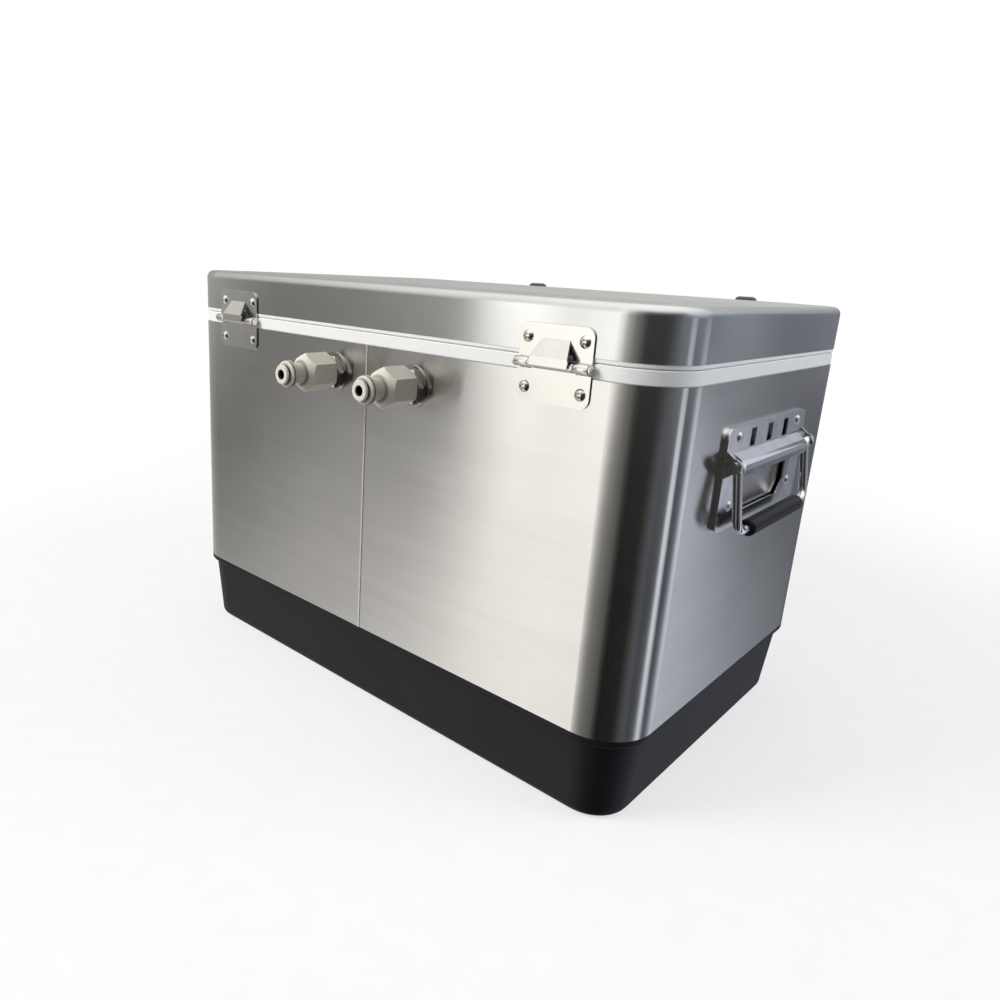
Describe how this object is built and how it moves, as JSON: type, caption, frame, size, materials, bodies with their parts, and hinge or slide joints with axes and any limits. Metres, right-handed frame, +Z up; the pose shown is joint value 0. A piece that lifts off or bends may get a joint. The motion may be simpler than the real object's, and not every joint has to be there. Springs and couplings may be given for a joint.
{
  "type": "jockey box beer cooler",
  "caption": "Insulated steel-jacketed cooler with hinged lid, drop handles, push-fit inlets, cooling coils and front taps.",
  "frame": {"origin": "on the floor under the middle of the cooler body", "axes": "+X along the body towards the drain end, +Y towards the hinges and inlets, +Z up"},
  "size_m": [0.671, 0.575, 0.44],
  "materials": {
    "base_plastic": "moulded, semi-matte charcoal",
    "jacket_steel": "brushed stainless, grain level round the body",
    "lid_steel": "brushed stainless, grain along the length",
    "foam": null,
    "liner_plastic": "white moulded liner",
    "hinge_nickel": "warm bright nickel plate",
    "screw_steel": "bright plated",
    "handle_chrome": "bright zinc or chrome plate",
    "grip_plastic": "black moulded",
    "acetal": "ivory acetal",
    "collet_acetal": "ivory acetal",
    "seal_rubber": "black rubber",
    "fitting_steel": "turned stainless",
    "coil_steel": "drawn stainless tube",
    "hose_vinyl": "clear beverage hose",
    "tap_chrome": "polished chrome plate",
    "tap_steel": "turned stainless",
    "handle_plastic": "black moulded",
    "drain_plastic": "white moulded"
  },
  "bodies": {
    "body": {"base_tub": "base_plastic", "steel_wrap": "jacket_steel", "body_foam": "foam", "inner_liner": "liner_plastic", "drain_spigot": "drain_plastic", "drain_nut": "drain_plastic", "hinge_1_body_leaf": "hinge_nickel", "hinge_2_body_leaf": "hinge_nickel", "hinge_pins": "hinge_nickel", "hinge_body_screws": "screw_steel", "handle_1_bracket": "handle_chrome", "handle_2_bracket": "handle_chrome", "handle_rivets": "screw_steel", "latch_keeper": "hinge_nickel", "latch_keeper_screws": "screw_steel", "inlet_1_fitting": "acetal", "inlet_2_fitting": "acetal", "inlet_seals": "seal_rubber", "inlet_shanks": "fitting_steel", "inlet_outer_nuts": "fitting_steel", "inlet_washers": "fitting_steel", "inlet_inner_nuts": "fitting_steel", "coil_1": "coil_steel", "coil_2": "coil_steel", "inlet_hose_1": "hose_vinyl", "inlet_hose_2": "hose_vinyl", "tap_hose_1": "hose_vinyl", "tap_hose_2": "hose_vinyl", "tap_shanks": "tap_chrome", "tap_flanges": "tap_chrome", "tap_inner_nuts": "tap_chrome", "tap_coupling_nuts": "tap_chrome", "tap_1_body": "tap_chrome", "tap_2_body": "tap_chrome", "tap_1_bonnet": "tap_chrome", "tap_2_bonnet": "tap_chrome"},
    "lid": {"lid_shell": "lid_steel", "lid_foam": "foam", "lid_liner": "liner_plastic", "hinge_1_lid_leaf": "hinge_nickel", "hinge_2_lid_leaf": "hinge_nickel", "hinge_lid_screws": "screw_steel", "latch_bracket": "hinge_nickel", "latch_pin": "screw_steel", "latch_lid_screws": "screw_steel"},
    "latch": {"latch_lever": "hinge_nickel"},
    "handle_1": {"handle_1_bail": "handle_chrome", "handle_1_grip": "grip_plastic"},
    "handle_2": {"handle_2_bail": "handle_chrome", "handle_2_grip": "grip_plastic"},
    "tap_1_lever_set": {"tap_1_lever": "tap_chrome", "tap_1_handle": "handle_plastic"},
    "tap_2_lever_set": {"tap_2_lever": "tap_chrome", "tap_2_handle": "handle_plastic"},
    "tap_1_valve": {"tap_1_plunger": "tap_steel"},
    "tap_2_valve": {"tap_2_plunger": "tap_steel"},
    "inlet_1_release": {"inlet_1_collet": "collet_acetal"},
    "inlet_2_release": {"inlet_2_collet": "collet_acetal"},
    "drain_seal": {"drain_gasket": "seal_rubber"},
    "drain_closure": {"drain_cap": "drain_plastic"}
  },
  "joints": [
    {"name": "lid_hinge", "type": "hinge", "parent": "body", "child": "lid", "pos_m": [0, 0.2085, 0.386], "axis": [-1, 0, 0], "range_deg": [0, 95]},
    {"name": "latch_swing", "type": "hinge", "parent": "lid", "child": "latch", "pos_m": [0, -0.212, 0.404], "axis": [-1, 0, 0], "range_deg": [0, 100]},
    {"name": "handle_1_swing", "type": "hinge", "parent": "body", "child": "handle_1", "pos_m": [-0.32, 0, 0.31], "axis": [0, 1, 0], "range_deg": [0, 90]},
    {"name": "handle_2_swing", "type": "hinge", "parent": "body", "child": "handle_2", "pos_m": [0.32, 0, 0.31], "axis": [0, -1, 0], "range_deg": [0, 90]},
    {"name": "tap_1_tilt", "type": "hinge", "parent": "body", "child": "tap_1_lever_set", "pos_m": [-0.164, -0.28805, 0.332], "axis": [1, 0, 0], "range_deg": [0, 20]},
    {"name": "tap_2_tilt", "type": "hinge", "parent": "body", "child": "tap_2_lever_set", "pos_m": [0.152, -0.28805, 0.332], "axis": [1, 0, 0], "range_deg": [0, 20]},
    {"name": "tap_1_travel", "type": "slide", "parent": "body", "child": "tap_1_valve", "axis": [0, 1, 0], "range_m": [0, 0.007]},
    {"name": "tap_2_travel", "type": "slide", "parent": "body", "child": "tap_2_valve", "axis": [0, 1, 0], "range_m": [0, 0.007]},
    {"name": "inlet_1_push", "type": "slide", "parent": "body", "child": "inlet_1_release", "axis": [0, -1, 0], "range_m": [0, 0.0015]},
    {"name": "inlet_2_push", "type": "slide", "parent": "body", "child": "inlet_2_release", "axis": [0, -1, 0], "range_m": [0, 0.0015]},
    {"name": "drain_travel", "type": "slide", "parent": "body", "child": "drain_seal", "axis": [1, 0, 0], "range_m": [0, 0.012]},
    {"name": "drain_turn", "type": "hinge", "parent": "drain_seal", "child": "drain_closure", "pos_m": [0.33, 0, 0.065], "axis": [1, 0, 0], "range_deg": [0, 1080]}
  ],
  "couplings": [
    {"joint": "tap_1_travel", "follows": "tap_1_tilt", "m_per_rad": 0.02},
    {"joint": "tap_2_travel", "follows": "tap_2_tilt", "m_per_rad": 0.02},
    {"joint": "drain_travel", "follows": "drain_turn", "m_per_rad": 0.00063}
  ]
}
